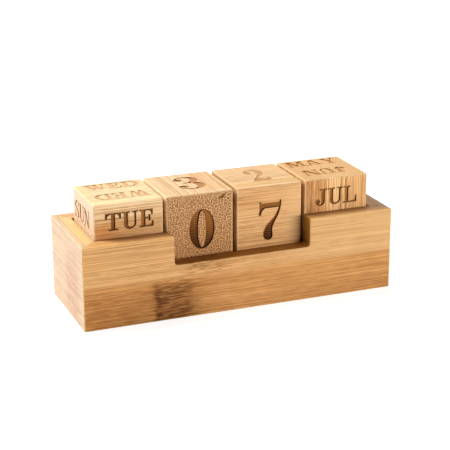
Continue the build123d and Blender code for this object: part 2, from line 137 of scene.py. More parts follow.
def glued_bamboo():
    """Node group: bamboo strip glued face to face, solid through the wood. Place is in
    millimetres with X along the grain, Y through a strip's thickness and Z across its
    width. End is 1 where the surface cuts across the grain."""
    tree = bpy.data.node_groups.new("glued_bamboo", "ShaderNodeTree")
    declare(tree, BAMBOO_INPUTS, {"Color": "Color", "Height": "Float"})
    given = add(tree, "NodeGroupInput").outputs
    axes = add(tree, "ShaderNodeSeparateXYZ", {0: given["Place"]}).outputs

    # which strip a point is in: rows through the thickness, staggered columns across
    row = add(tree, "ShaderNodeMath", {0: axes["Y"], 1: given["Thickness"]}, operation="DIVIDE")
    row_index = add(tree, "ShaderNodeMath", {0: row}, operation="FLOOR")
    column = add(tree, "ShaderNodeMath", {0: axes["Z"], 1: given["Width"]}, operation="DIVIDE")
    column = add(tree, "ShaderNodeMath", {0: row_index, 1: STAGGER, 2: column}, operation="MULTIPLY_ADD")
    column_index = add(tree, "ShaderNodeMath", {0: column}, operation="FLOOR")
    cell = add(tree, "ShaderNodeCombineXYZ", {0: row_index, 1: column_index, 2: given["Seed"]})
    strip = add(tree, "ShaderNodeTexWhiteNoise", {"Vector": cell}).outputs
    own = add(tree, "ShaderNodeVectorMath", {0: strip["Color"], 1: [STRIP_SHIFT] * 3, 2: given["Place"]},
              operation="MULTIPLY_ADD")

    # long streaks, fine fibres and the bundles that show as dots on end grain
    streak = grain_noise(tree, own, STREAK, Detail=3.0, Roughness=0.62)
    fibre = grain_noise(tree, own, FIBRE, Detail=1.0)
    drift = grain_noise(tree, own, DRIFT, Detail=1.0).outputs["Color"]
    pitches = add(tree, "ShaderNodeVectorMath", {0: own, "Scale": 1 / BUNDLE_PITCH}, operation="SCALE")
    pitches = add(tree, "ShaderNodeVectorMath", {0: drift, 1: [DRIFT_REACH] * 3, 2: pitches},
                  operation="MULTIPLY_ADD")
    pitches = add(tree, "ShaderNodeSeparateXYZ", {0: pitches}).outputs
    pitches = add(tree, "ShaderNodeCombineXYZ", {0: pitches["Y"], 1: pitches["Z"]})
    bundle = add(tree, "ShaderNodeTexVoronoi",
                 {"Vector": pitches, "Scale": 1.0, "Randomness": BUNDLE_SCATTER}, voronoi_dimensions="2D")
    radial = add(tree, "ShaderNodeMath", {0: row}, operation="FRACT")
    reach = add(tree, "ShaderNodeMath", {0: radial, 1: BUNDLE_GROWTH, 2: BUNDLE_EDGE[1]},
                operation="MULTIPLY_ADD")
    dot = add(tree, "ShaderNodeMapRange",
              {"Value": bundle.outputs["Distance"], "From Min": BUNDLE_EDGE[0], "From Max": reach,
               "To Min": 1.0, "To Max": 0.0}, interpolation_type="SMOOTHSTEP")
    broken = grain_noise(tree, own, BREAK, Detail=1.0)
    broken = add(tree, "ShaderNodeMapRange",
                 {"Value": broken, "From Min": BREAK_EDGE[0], "From Max": BREAK_EDGE[1],
                  "To Min": BREAK_FAINT})
    broken = add(tree, "ShaderNodeMath", {0: broken, 1: given["End"]}, operation="MAXIMUM")
    dot = add(tree, "ShaderNodeMath", {0: dot, 1: broken}, operation="MULTIPLY")

    # glue joints between strips, as a dark hairline
    joints = []
    for ratio, size in ((row, given["Thickness"]), (column, given["Width"])):
        wave = add(tree, "ShaderNodeMath", {0: ratio, 1: 1.0}, operation="PINGPONG")
        away = add(tree, "ShaderNodeMath", {0: wave, 1: size}, operation="MULTIPLY")
        joints.append(add(tree, "ShaderNodeMapRange",
                          {"Value": away, "From Min": JOINT_EDGE[0], "From Max": JOINT_EDGE[1],
                           "To Min": 1.0, "To Max": 0.0}))
    joint = add(tree, "ShaderNodeMath", {0: joints[0], 1: joints[1]}, operation="MAXIMUM")
    joint = add(tree, "ShaderNodeMath", {0: joint, 1: given["Joints"]}, operation="MULTIPLY")

    # tone: the strip's own shade, then streaks and fibres about it
    tone = 0.5
    for source, amount in ((strip["Value"], "Spread"), (streak, "Streaks"), (fibre, "Fibres")):
        sway = add(tree, "ShaderNodeMath", {0: source, 1: 0.5}, operation="SUBTRACT")
        tone = add(tree, "ShaderNodeMath", {0: sway, 1: given[amount], 2: tone}, operation="MULTIPLY_ADD")
    body = add(tree, "ShaderNodeMix", {"Factor": tone, "A_Color": given["Pale"], "B_Color": given["Deep"]},
               data_type="RGBA")
    sawn = add(tree, "ShaderNodeMath", {0: given["End"], 1: SAWN}, operation="MULTIPLY")
    body = add(tree, "ShaderNodeMix", {"Factor": sawn, "A_Color": body, "B_Color": given["Cut"]},
               data_type="RGBA")
    showing = add(tree, "ShaderNodeMapRange",
                  {"Value": given["End"], "To Min": given["Lines"], "To Max": given["Bundles"]})
    dark = add(tree, "ShaderNodeMath", {0: dot, 1: showing}, operation="MULTIPLY")
    dark = add(tree, "ShaderNodeMath", {0: dark, 1: joint}, operation="MAXIMUM", use_clamp=True)
    shade = add(tree, "ShaderNodeMix",
                {"Factor": 1.0, "A_Color": given["Deep"], "B_Color": linear(BUNDLE_SHADE)},
                data_type="RGBA", blend_type="MULTIPLY")
    body = add(tree, "ShaderNodeMix", {"Factor": dark, "A_Color": body, "B_Color": shade},
               data_type="RGBA")

    height = add(tree, "ShaderNodeMath", {0: dark, 1: BUNDLE_RELIEF, 2: fibre}, operation="MULTIPLY_ADD")
    add(tree, "NodeGroupOutput", {"Color": body, "Height": height})
    return tree


BAMBOO = glued_bamboo()


def bamboo_start(name, order, corner, strip, seed, tones, **grain):
    """Material with the bamboo pattern in it. Order names the axes that lie along the
    grain, through the strips and across them. Corner is a strip's corner and strip its
    thickness and width, in mm. Tones are the pale, the deep and the end-grain one, and
    grain is what differs from GRAIN."""
    material = bpy.data.materials.new(name)
    material.use_nodes = True
    tree = material.node_tree
    tree.nodes.clear()
    axes = add(tree, "ShaderNodeSeparateXYZ", {0: millimetres_from(tree, corner)}).outputs
    place = add(tree, "ShaderNodeCombineXYZ", {0: axes[order[0]], 1: axes[order[1]], 2: axes[order[2]]})
    normal = add(tree, "ShaderNodeTexCoord").outputs["Normal"]
    facing = add(tree, "ShaderNodeSeparateXYZ", {0: normal}).outputs[order[0]]
    facing = add(tree, "ShaderNodeMath", {0: facing}, operation="ABSOLUTE")
    end = add(tree, "ShaderNodeMapRange",
              {"Value": facing, "From Min": END_FACING[0], "From Max": END_FACING[1]})
    pale, deep, cut = (linear(tone) for tone in tones)
    thickness, width = strip
    wood = add(tree, "ShaderNodeGroup",
               {"Place": place, "Thickness": thickness, "Width": width, "Seed": seed, "End": end,
                "Pale": pale, "Deep": deep, "Cut": cut, **GRAIN, **grain}, node_tree=BAMBOO)
    return material, tree, place, wood.outputs


PORE_DEPTH = 0.12            # mm, relief of the grain
WOOD_IOR = 1.5
SANDED_BUMP = 0.3
SANDED_SHINE = 0.15          # specular level; bare pores scatter most of it
LACQUER_BUMP = 0.25
LACQUER_ROUGH = (0.5, 0.4)   # over the soft wood and over the hard fibres


def sanded_finish(tree, colour, height, rough, bump=SANDED_BUMP, shine=SANDED_SHINE):
    """Closes a bamboo material: pores break up the shine, so it reflects less than a
    smooth surface would."""
    relief = add(tree, "ShaderNodeBump", {"Strength": bump, "Distance": PORE_DEPTH * MM, "Height": height})
    surface = add(tree, "ShaderNodeBsdfPrincipled",
                  {"Base Color": colour, "Roughness": rough, "Normal": relief, "IOR": WOOD_IOR,
                   "Specular IOR Level": shine})
    add(tree, "ShaderNodeOutputMaterial", {"Surface": surface})


def matt_lacquer(tree, colour, height, shine):
    """The finish of the holder: thin matt lacquer, shinier on the hard fibres."""
    rough = add(tree, "ShaderNodeMapRange",
                {"Value": height, "To Min": LACQUER_ROUGH[0], "To Max": LACQUER_ROUGH[1]})
    sanded_finish(tree, colour, height, rough, LACQUER_BUMP, shine)


WAVER_SIZE = (12, 2.2)       # mm, blobs of the noise that makes the ends of a patch waver
MARK = (6, 0.7)              # mm, length and breadth of the marks in a culm node
MARK_TURN = 0.3              # how much they are bent
MARK_PITCH = 1.15            # mm between the wavy lines in a culm node
MARK_WAVE = 3.0              # mm by which those lines wave
MARK_LINES = 0.07            # how much the lines count against the noise
MARK_EDGE = (0.42, 0.56)     # noise levels between which a mark fades in


def patch(tree, colour, place, along, across, tint, strength, dashes=0.0, waver=4.0, axis="Z",
          blend="MULTIPLY"):
    """An area of one strip of another tone, such as a culm node; the tint multiplies the
    wood. Along the grain it begins, is full, begins to fade and ends at four places;
    across it (axis Z across the strips, Y through them) it has a low and a high limit
    and a softness; all in mm. Waver is how far its ends waver, in mm, and dashes breaks
    it up into the short wavy marks of a node."""
    wobble = grain_noise(tree, place, WAVER_SIZE, Detail=2.0)
    axes = add(tree, "ShaderNodeSeparateXYZ", {0: place}).outputs
    spot = add(tree, "ShaderNodeMath", {0: wobble, 1: 0.5}, operation="SUBTRACT")
    spot = add(tree, "ShaderNodeMath", {0: spot, 1: waver, 2: axes["X"]}, operation="MULTIPLY_ADD")
    begin, full_from, full_to, finish = along
    low, high, soft = across
    mask = strength
    for value, empty, full in ((spot, begin, full_from), (spot, finish, full_to),
                               (axes[axis], low - soft, low + soft), (axes[axis], high + soft, high - soft)):
        part = add(tree, "ShaderNodeMapRange",
                   {"Value": value, "From Min": min(empty, full), "From Max": max(empty, full),
                    "To Min": float(empty > full), "To Max": float(empty < full)},
                   interpolation_type="SMOOTHSTEP")
        mask = add(tree, "ShaderNodeMath", {0: part, 1: mask}, operation="MULTIPLY")
    marks = grain_noise(tree, place, MARK, Detail=1.0, Distortion=MARK_TURN)
    bands = add(tree, "ShaderNodeMath", {0: wobble, 1: MARK_WAVE, 2: axes["Z"]}, operation="MULTIPLY_ADD")
    bands = add(tree, "ShaderNodeMath", {0: bands, 1: 2 * math.pi / MARK_PITCH}, operation="MULTIPLY")
    bands = add(tree, "ShaderNodeMath", {0: bands}, operation="SINE")
    marks = add(tree, "ShaderNodeMath", {0: bands, 1: MARK_LINES, 2: marks}, operation="MULTIPLY_ADD")
    marks = add(tree, "ShaderNodeMapRange",
                {"Value": marks, "From Min": MARK_EDGE[0], "From Max": MARK_EDGE[1],
                 "To Min": 1.0 - dashes, "To Max": 1.0})
    mask = add(tree, "ShaderNodeMath", {0: mask, 1: marks}, operation="MULTIPLY", use_clamp=True)
    return add(tree, "ShaderNodeMix", {"Factor": mask, "A_Color": colour, "B_Color": linear(tint)},
               data_type="RGBA", blend_type=blend)


EDGE_PALEST = 0.3                   # part of the reach within which an edge is palest: painted highlight, partly sanding wear


def edge_highlight_and_wear(tree, colour, low, high, reach, tint, strength):
    """Paler wood at the edges of a block, within reach of two faces at once: painted
    highlight where the light catches the rounded edges, partly wear from sanding. Low
    and high are the block's corners, in mm."""
    spot = millimetres_from(tree, (low + high) / 2)
    spot = add(tree, "ShaderNodeVectorMath", {0: spot}, operation="ABSOLUTE")
    spot = add(tree, "ShaderNodeVectorMath", {0: spot, 1: (high - low) / 2}, operation="SUBTRACT")
    axes = add(tree, "ShaderNodeSeparateXYZ", {0: spot}).outputs
    pairs = [add(tree, "ShaderNodeMath", {0: axes[one], 1: axes[two]}, operation="MINIMUM")
             for one, two in ("XY", "XZ", "YZ")]
    most = add(tree, "ShaderNodeMath", {0: pairs[0], 1: pairs[1]}, operation="MAXIMUM")
    most = add(tree, "ShaderNodeMath", {0: most, 1: pairs[2]}, operation="MAXIMUM")
    mask = add(tree, "ShaderNodeMapRange",
               {"Value": most, "From Min": -reach, "From Max": -EDGE_PALEST * reach, "To Max": strength})
    return add(tree, "ShaderNodeMix", {"Factor": mask, "A_Color": colour, "B_Color": linear(tint)},
               data_type="RGBA")


def wall_corner(name, order, joint):
    """Corner of a strip in a wall, in mm: on a glue joint between plies, which lies
    joint mm along its axis from the middle of the wall."""
    low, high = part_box(name)
    through = "XYZ".index(order[1])
    corner = [0.0, 0.0, -PLANED]
    corner[through] = (low[through] + high[through]) / 2 / MM + joint
    return corner


def give_finish(name, material):
    """Puts a material on a board in place of its plain one."""
    slots = nodes[name].data.materials
    slots.clear()
    slots.append(material)


walls = ("front_board", "back_board", "left_end_board", "right_end_board")
wall_corners = [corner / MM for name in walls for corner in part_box(name)]
HOLDER_LOW = Vector([min(corner[axis] for corner in wall_corners) for axis in range(3)])
HOLDER_HIGH = Vector([max(corner[axis] for corner in wall_corners) for axis in range(3)])
HOLDER_EDGE = 0.9            # mm, reach of the pale edges of the holder: painted highlight, partly sanding wear

FRONT_TONES = ("#e5b176", "#c18d54", "#80602c")
FRONT_SEED = 4.0
FRONT_SHINE = 0.12
FRONT_AREAS = (
    # the lower strip, darker from the left end to the culm node
    ((-120, -100, 120, 140), (-5, 21.4, 1.4), "#f8ecd8", 1.0),
    ((-120, -100, -45, 0), (-5, 20.0, 4.0), "#d9cdbb", 1.0, 0.5, 0.0),
    # the culm node in the lower strip: its marks, its stain, its edge and its foot
    ((-50, -44, -34, -13), (-5, 21.4, 1.2), "#cbbfac", 1.0, 0.9, 3.0),
    ((-48, -44, -38, -20), (-5, 18.5, 4.0), "#d6ccba", 1.0, 0.2, 5.0),
    ((-46.4, -45.2, -44.4, -42.6), (-5, 16.0, 3.0), "#d9cfbe", 0.8, 0.4, 5.0),
    ((-47, -44, -31, -19), (-5, 9, 4), "#e2dbd5", 1.0, 0.5, 6.0),
    # the culm node in the upper strip, under the notch
    ((-32, -26, -14, -4), (23.0, 28.9, 1.0), "#bfae92", 0.9, 0.9, 5.0),
    # painted sheen: the upper strip paler towards the right end, where it reflects more of the white room
    ((10, 50, 120, 140), (22, 60, 1.5), "#deb77d", 0.3, 0.0, 4.0, "Z", "MIX"),
    # painted shade: the ledge and the cheeks of the notch, behind the outer face, darker where the cubes
    # shade them
    ((-37, -36, 36.5, 37.5), (0.9, 20, 0.3), "#e1c87c", 1.0, 0.2, 0.0, "Y"),
)

material, tree, place, wood = bamboo_start(
    "lacquered_bamboo_front", "XYZ", wall_corner("front_board", "XYZ", -PLY), (PLY, STRIP), FRONT_SEED,
    FRONT_TONES, Spread=0.1, Streaks=0.15, Fibres=2.9, Lines=0.3)
colour = wood["Color"]
for area in FRONT_AREAS:
    colour = patch(tree, colour, place, *area)
# pale edges: painted highlight where the light catches them, partly sanding wear
colour = edge_highlight_and_wear(tree, colour, HOLDER_LOW, HOLDER_HIGH, HOLDER_EDGE, tint="#edbd70", strength=0.45)
matt_lacquer(tree, colour, wood["Height"], FRONT_SHINE)
give_finish("front_board", material)

# ---- Back and end boards -------------------------------------------------------------
# The other three walls, of the same strip and lacquer, each from its own batch of
# bamboo. The left one is cut from a thicker, paler and pinker ply with a faint node.

SIDE_CUT = "#c59660"
LEFT_PLY = 6.2               # mm

# grain order, mm from the wall's middle to a glue joint, ply, seed, tones, shine, areas
SIDES = {
    "back_board": ("XYZ", 0.0, PLY, 7.0, ("#e6b67f", "#c5935e", SIDE_CUT), 0.3, ()),
    "left_end_board": ("YXZ", -1.6, LEFT_PLY, 2.0, ("#e1c4a4", "#caa785", SIDE_CUT), 0.3, (
        # the faint node in the end face, and the yellower inner ply
        ((-24, -14, -4, 8), (3, 34, 3.0), "#ecdad4", 0.9, 0.6, 9.0),
        ((-90, -80, 80, 90), (0.1, 20, 0.2), "#e6b664", 0.6, 0.0, 4.0, "Y", "MIX"))),
    "right_end_board": ("YXZ", 0.0, PLY, 3.0, ("#e4b681", "#c29363", SIDE_CUT), 0.22, ()),
}

for name, (order, joint, ply, seed, tones, shine, areas) in SIDES.items():
    material, tree, place, wood = bamboo_start(
        "lacquered_bamboo_" + name, order, wall_corner(name, order, joint), (ply, STRIP), seed, tones,
        Spread=0.2, Streaks=0.8, Fibres=2.6)
    colour = wood["Color"]
    for area in areas:
        colour = patch(tree, colour, place, *area)
    # pale edges: painted highlight where the light catches them, partly sanding wear
    colour = edge_highlight_and_wear(tree, colour, HOLDER_LOW, HOLDER_HIGH, HOLDER_EDGE, tint="#f2d2a0", strength=0.4)
    matt_lacquer(tree, colour, wood["Height"], shine)
    give_finish(name, material)

# ---- Shelf and base ------------------------------------------------------------------
# The shelf that carries the cubes, its edges let into the walls, and the panel that
# closes the underside: plain sanded bamboo board, left without lacquer.

PANEL_STRIP = (5.0, 20.0)    # mm, thickness and width
PANEL_TONES = ("#dcab72", "#bf8446", "#bb8a55")
PANEL_ROUGH = 0.6

for name, seed in (("floor_board", 11.0), ("base_board", 12.0)):
    material, tree, place, wood = bamboo_start(
        "sanded_bamboo_" + name, "XZY", (0, 0, 0), PANEL_STRIP, seed, PANEL_TONES)
    sanded_finish(tree, wood["Color"], wood["Height"], PANEL_ROUGH)
    give_finish(name, material)

# ---- Cubes ---------------------------------------------------------------------------
# Four 35 mm blocks of strip bamboo, sanded all round, with the lettering burnt in by
# laser: a charred floor up to 0.8 mm down, with raster lines across it and a sooty rim.
# Each face was burnt at its own power, so some letters are dark and some only tan.

EASE = 0.8                   # mm, rounding of the edges
EASE_STEPS = 5
FACES = {                    # outward, reading direction and up of each face
    "front": ((0, -1, 0), (1, 0, 0), (0, 0, 1)),
    "back": ((0, 1, 0), (-1, 0, 0), (0, 0, 1)),
    "left": ((-1, 0, 0), (0, -1, 0), (0, 0, 1)),
    "right": ((1, 0, 0), (0, 1, 0), (0, 0, 1)),
    "top": ((0, 0, 1), (1, 0, 0), (0, 1, 0)),
    "bottom": ((0, 0, -1), (1, 0, 0), (0, -1, 0)),
}


def sanded_block_tree():
    """Geometry Nodes: a cube whose grid is bent so that its edges and corners are
    round by Ease, in Steps facets, and its six faces stay flat."""
    tree = bpy.data.node_groups.new("sanded_block", "GeometryNodeTree")
    declare(tree, {"Half": "Float", "Ease": "Float", "Steps": "Int", "Centre": "Vector", "Wood": "Material"},
            {"Geometry": "Geometry"})
    given = add(tree, "NodeGroupInput").outputs
    rows = add(tree, "ShaderNodeMath", {0: given["Steps"], 1: 2.0, 2: 2.0}, operation="MULTIPLY_ADD")
    grid = add(tree, "GeometryNodeMeshCube",
               {"Size": (2, 2, 2), "Vertices X": rows, "Vertices Y": rows, "Vertices Z": rows})
    spot = add(tree, "GeometryNodeInputPosition")
    side = add(tree, "ShaderNodeVectorMath", {0: spot}, operation="SIGN")

    # steps from the middle of a face, as the turn of a round edge, up to an eighth of a circle
    size = add(tree, "ShaderNodeVectorMath", {0: spot}, operation="ABSOLUTE")
    reach = add(tree, "ShaderNodeMath", {0: given["Steps"], 1: 0.5}, operation="ADD")
    size = add(tree, "ShaderNodeVectorMath", {0: size, "Scale": reach}, operation="SCALE")
    size = add(tree, "ShaderNodeVectorMath", {0: size, 1: (0.5, 0.5, 0.5)}, operation="SUBTRACT")
    quarter = add(tree, "ShaderNodeMath", {0: math.pi / 4, 1: given["Steps"]}, operation="DIVIDE")
    size = add(tree, "ShaderNodeVectorMath", {0: size, "Scale": quarter}, operation="SCALE")
    bend = add(tree, "ShaderNodeVectorMath", {0: size}, operation="TANGENT")
    bend = add(tree, "ShaderNodeVectorMath", {0: bend, 1: side}, operation="MULTIPLY")
    bend = add(tree, "ShaderNodeVectorMath", {0: bend}, operation="NORMALIZE")
    bend = add(tree, "ShaderNodeVectorMath", {0: bend, "Scale": given["Ease"]}, operation="SCALE")

    inner = add(tree, "ShaderNodeMath", {0: given["Half"], 1: given["Ease"]}, operation="SUBTRACT")
    place = add(tree, "ShaderNodeVectorMath", {0: side, "Scale": inner}, operation="SCALE")
    place = add(tree, "ShaderNodeVectorMath", {0: place, 1: bend}, operation="ADD")
    place = add(tree, "ShaderNodeVectorMath", {0: place, 1: given["Centre"]}, operation="ADD")
    moved = add(tree, "GeometryNodeSetPosition", {"Geometry": grid, "Position": place})
    real = add(tree, "GeometryNodeRealizeInstances", {"Geometry": moved})
    wooden = add(tree, "GeometryNodeSetMaterial", {"Geometry": real, "Material": given["Wood"]})
    add(tree, "NodeGroupOutput", {"Geometry": wooden})
    return tree


SANDED_BLOCK = sanded_block_tree()


def sanded_block(half, centre, wood):
    """Plain mesh of one rounded block, in metres."""
    blank = bpy.data.objects.new("blank", bpy.data.meshes.new("blank"))
    scene.collection.objects.link(blank)
    maker = blank.modifiers.new("sanded_block", "NODES")
    maker.node_group = SANDED_BLOCK
    values = {"Half": half, "Ease": EASE * MM, "Steps": EASE_STEPS, "Centre": centre, "Wood": wood}
    for socket in SANDED_BLOCK.interface.items_tree:
        if socket.in_out == "INPUT":
            maker[socket.identifier] = values[socket.name]
    graph = bpy.context.evaluated_depsgraph_get()
    mesh = bpy.data.meshes.new_from_object(blank.evaluated_get(graph))
    bpy.data.objects.remove(blank)
    return mesh


WELD = MM / 1000             # points of the solid cube's mesh that are this close are one
SHEET_WELD = MM / 10000      # the same, where a lettered sheet meets the block's edges
ON_FACE = MM / 200           # an edge of the mesh this near to a face counts as lying in it
WALL_TILT = 0.1              # a wall of the engraving turns less than this towards its face
FACE_TILT = 0.99             # and the face itself at least this


def burnt_outlines(node, centre, half):
    """Where the walls of the engraving meet each face of a cube: short lines, in mm
    from the middle of the face."""
    solid = bmesh.new()
    solid.from_mesh(node.data)
    bmesh.ops.remove_doubles(solid, verts=solid.verts, dist=WELD)
    solid.normal_update()
    lines = {face: [] for face in FACES}
    for rim in solid.edges:
        if len(rim.link_faces) != 2:
            continue
        ends = [vert.co - centre for vert in rim.verts]
        for face, axes in FACES.items():
            outward, across, up = (Vector(axis) for axis in axes)
            if any(abs(end.dot(outward) - half) > ON_FACE for end in ends):
                continue
            tilt = sorted(abs(side.normal.dot(outward)) for side in rim.link_faces)
            if tilt[0] < WALL_TILT and tilt[1] > FACE_TILT:
                lines[face].append([(end.dot(across) / MM, end.dot(up) / MM) for end in ends])
    solid.free()
    return lines


CHECK_POINTS = 22
CHECK_TAPER = 0.5            # how pointed its ends are; at 0 it is an ellipse


def lens_check(across, up, length, height, tilt):
    """Outline of a lens-shaped drying check in the wood, in mm."""
    points = []
    for step in range(CHECK_POINTS):
        turn = 2 * math.pi * step / CHECK_POINTS
        x = length * math.cos(turn)
        y = height * math.sin(turn) * abs(math.sin(turn)) ** CHECK_TAPER
        points.append((across + x * math.cos(tilt) - y * math.sin(tilt),
                       up + x * math.sin(tilt) + y * math.cos(tilt)))
    return [[points[step - 1], points[step]] for step in range(CHECK_POINTS)]


CUT_SPACING = 0.5            # mm between points along a letter's outline
RIM_PARTS = 4                # places on each of those stretches that distances are taken to
SHORT_CUT = 0.05             # mm; a shorter stretch gets no points beside it
SHELVES = (0.18, 0.5)        # mm each side of an outline where the soot is measured
SHELF_CLEAR = 0.85           # part of that distance which such a point keeps from every outline
SHEET_MARGIN = 0.3           # mm that it keeps from the edge of the sheet
SHEET_SPACING = 1.6          # mm between points on the plain wood
SHEET_CLEAR = 0.8            # mm that those keep from every outline
POINT_DIGITS = 4             # points that agree to this many places, in mm, are one
CUT_TOLERANCE = 1e-5         # mm


def lettered_sheet(lines, flat):
    """Triangles of one flat face, cut along the lettering; flat is half its width, in
    mm. Returns the points, the triangles as (points, inside a letter), and each
    point's distance to an outline."""
    points, index, cuts, rims = [], {}, [], []

    def point(at):
        key = (round(at[0], POINT_DIGITS), round(at[1], POINT_DIGITS))
        if key not in index:
            index[key] = len(points)
            points.append(Vector(at))
        return index[key]

    for corner in ((-flat, -flat), (flat, -flat), (flat, flat), (-flat, flat)):
        point(corner)
    pieces = []
    for start, end in lines:
        start, end = Vector(start), Vector(end)
        count = max(1, math.ceil((end - start).length / CUT_SPACING))
        stops = [start.lerp(end, step / count) for step in range(count + 1)]
        pieces += list(zip(stops, stops[1:]))
    for start, end in pieces:
        cuts.append((point(start), point(end)))
        rims += [start.lerp(end, part / RIM_PARTS) for part in range(RIM_PARTS)]
    tree = kdtree.KDTree(max(1, len(rims)))
    for number, rim in enumerate(rims):
        tree.insert((*rim, 0), number)
    tree.balance()

    def clearance(at):
        return tree.find((*at, 0))[2] if rims else 2 * flat

    for start, end in pieces:
        if (end - start).length < SHORT_CUT:
            continue
        middle = (start + end) / 2
        normal = (end - start).orthogonal().normalized()
        for shelf in SHELVES:
            for side in (-shelf, shelf):
                spot = middle + normal * side
                if clearance(spot) > SHELF_CLEAR * shelf and max(map(abs, spot)) < flat - SHEET_MARGIN:
                    point(spot)
    count = int(2 * flat / SHEET_SPACING)
    for column in range(count):
        for row in range(count):
            spot = Vector(((column + 0.5) / count * 2 - 1, (row + 0.5) / count * 2 - 1)) * flat
            if clearance(spot) > SHEET_CLEAR:
                point(spot)
    points, _, triangles = geometry.delaunay_2d_cdt(points, cuts, [], 0, CUT_TOLERANCE)[:3]

    def inside(at):
        crossings = 0
        for (x0, y0), (x1, y1) in lines:
            if (y0 > at[1]) != (y1 > at[1]) and at[0] < x0 + (at[1] - y0) * (x1 - x0) / (y1 - y0):
                crossings += 1
        return crossings % 2 == 1

    kinds = []
    for triangle in triangles:
        centre = sum((points[corner] for corner in triangle), Vector((0, 0))) / 3
        kinds.append((triangle, inside(centre)))
    return points, kinds, [clearance(at) for at in points]


ENGRAVE = 0.8                # mm, depth of a burn at full power
DEPTH_POWER = 0.7            # how the depth follows the power
CHAR_RISE = 0.05             # mm by which a charred floor rises and falls
CHAR_RATE = 1.4              # times that it does so in a millimetre
CHECK_SHADE = 0.5             # painted shade in the hollow of a drying check, on the scale of laser power
CHECK_REACH = 1.1            # check lengths from its middle within which wood takes that painted shade
FAR = 10.0                   # mm from any outline, for the edges of the block
BURN_KEYS = ("burnt", "power", "soot", "scan", "sweep")


def burnt_sheet(skin, layers, face, lines, checks, strength, centre, half):
    """Adds one face to the skin: the plain wood, the burnt floors below it and the
    walls between. Its points keep how they were burnt, in layers that laser_burn reads:
    power, distance to an outline, and place along and across the face, in mm."""
    outward, across, up = (Vector(axis) for axis in FACES[face])
    points, kinds, gaps = lettered_sheet(lines, half / MM - EASE)
    made = {}

    def vert(number, sunk):
        if (number, sunk) not in made:
            at = points[number]
            depth = 0.0
            if sunk:
                ripple = noise.noise((at.x * CHAR_RATE, at.y * CHAR_RATE, half / MM))
                depth = ENGRAVE * strength ** DEPTH_POWER + CHAR_RISE * ripple
            new = skin.verts.new(centre + outward * (half - depth * MM) + (across * at.x + up * at.y) * MM)
            # near a drying check the wood takes char colour, as painted shade in its hollow
            cracked = any((Vector(check[:2]) - at).length < CHECK_REACH * check[2] for check in checks)
            new[layers["burnt"]] = strength if sunk else 0.0
            new[layers["power"]] = CHECK_SHADE if cracked else strength
            new[layers["soot"]] = gaps[number]
            new[layers["scan"]] = at.y
            new[layers["sweep"]] = at.x
            made[number, sunk] = new
        return made[number, sunk]

    surface_edges = {}
    for triangle, sunk in kinds:
        skin.faces.new([vert(number, sunk) for number in triangle])
        for first, second in zip(triangle, triangle[1:] + triangle[:1]):
            surface_edges[first, second] = sunk
    for (first, second), sunk in surface_edges.items():
        if not sunk and surface_edges.get((second, first), False):
            skin.faces.new((vert(second, False), vert(first, False), vert(first, True), vert(second, True)))


OTHER_POWER = 0.85           # laser power of a face whose own isn't given
SHARP = math.radians(35)     # the shading breaks at edges sharper than this


def engraved_cube(name, node, wood, power, checks):
    """The cube again with a finer skin: the block's edges and six lettered sheets with
    the burnt floors sunk into them."""
    low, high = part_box(name)
    centre, half = (low + high) / 2, (high.z - low.z) / 2
    skin = bmesh.new()
    skin.from_mesh(sanded_block(half, centre, wood))
    layers = {key: skin.verts.layers.float.new(key) for key in BURN_KEYS}
    flats = [face for face in skin.faces if face.calc_area() > half * half]
    bmesh.ops.delete(skin, geom=flats, context="FACES_ONLY")
    for vert in skin.verts:
        vert[layers["soot"]] = FAR
    outlines = burnt_outlines(node, centre, half)
    for face in FACES:
        cracks = checks.get(face, [])
        lines = outlines[face] + [line for check in cracks for line in lens_check(*check)]
        burnt_sheet(skin, layers, face, lines, cracks, power.get(face, OTHER_POWER), centre, half)
    rims = [vert for vert in skin.verts if vert.is_boundary]
    bmesh.ops.remove_doubles(skin, verts=rims, dist=SHEET_WELD)
    mesh = bpy.data.meshes.new(name + "_engraved")
    skin.to_mesh(mesh)
    skin.free()
    mesh.materials.append(wood)
    mesh.polygons.foreach_set("use_smooth", [True] * len(mesh.polygons))
    mesh.set_sharp_from_angle(angle=SHARP)
    piece = bpy.data.objects.new(name + "_engraved", mesh)
    scene.collection.objects.link(piece)
    return piece


RASTER = 1.05                # mm between laser lines, four times the real pitch so that they show
RASTER_EDGE = 0.8            # height of the wave at which a line is fully dark or light
RASTER_DARK = 0.6            # how much a raster line darkens the char
SCAN_REACH = 10.0            # mm above and below a face's middle over which the char changes
SCAN_DARK = (0.75, -0.2)     # darkness at the bottom of that reach and at its top
SWEEP_DARK = -0.025          # darkness gained for each mm to the right, so the left is darker
BURN_EDGE = 0.25             # part of the power at which a floor counts as burnt
FAINT = 0.2                  # how much of the char shows at the lowest power
RIM_WIDTH = 0.55             # mm, width of the sooty rim each side of an outline
HALO = 0.35                  # how much of that soot lies on the plain wood
CHAR_ROUGH = (0.5, 0.95)     # roughness of the plain wood and of the char
CHAR_TONES = ("#a86a30", "#3a1804")      # char between the raster lines and on them
RIM_TONE = "#3a1805"
SCORCH_TONE = "#b4702c"      # wood that a weak beam only browned
HALO_TONE = "#8a5427"


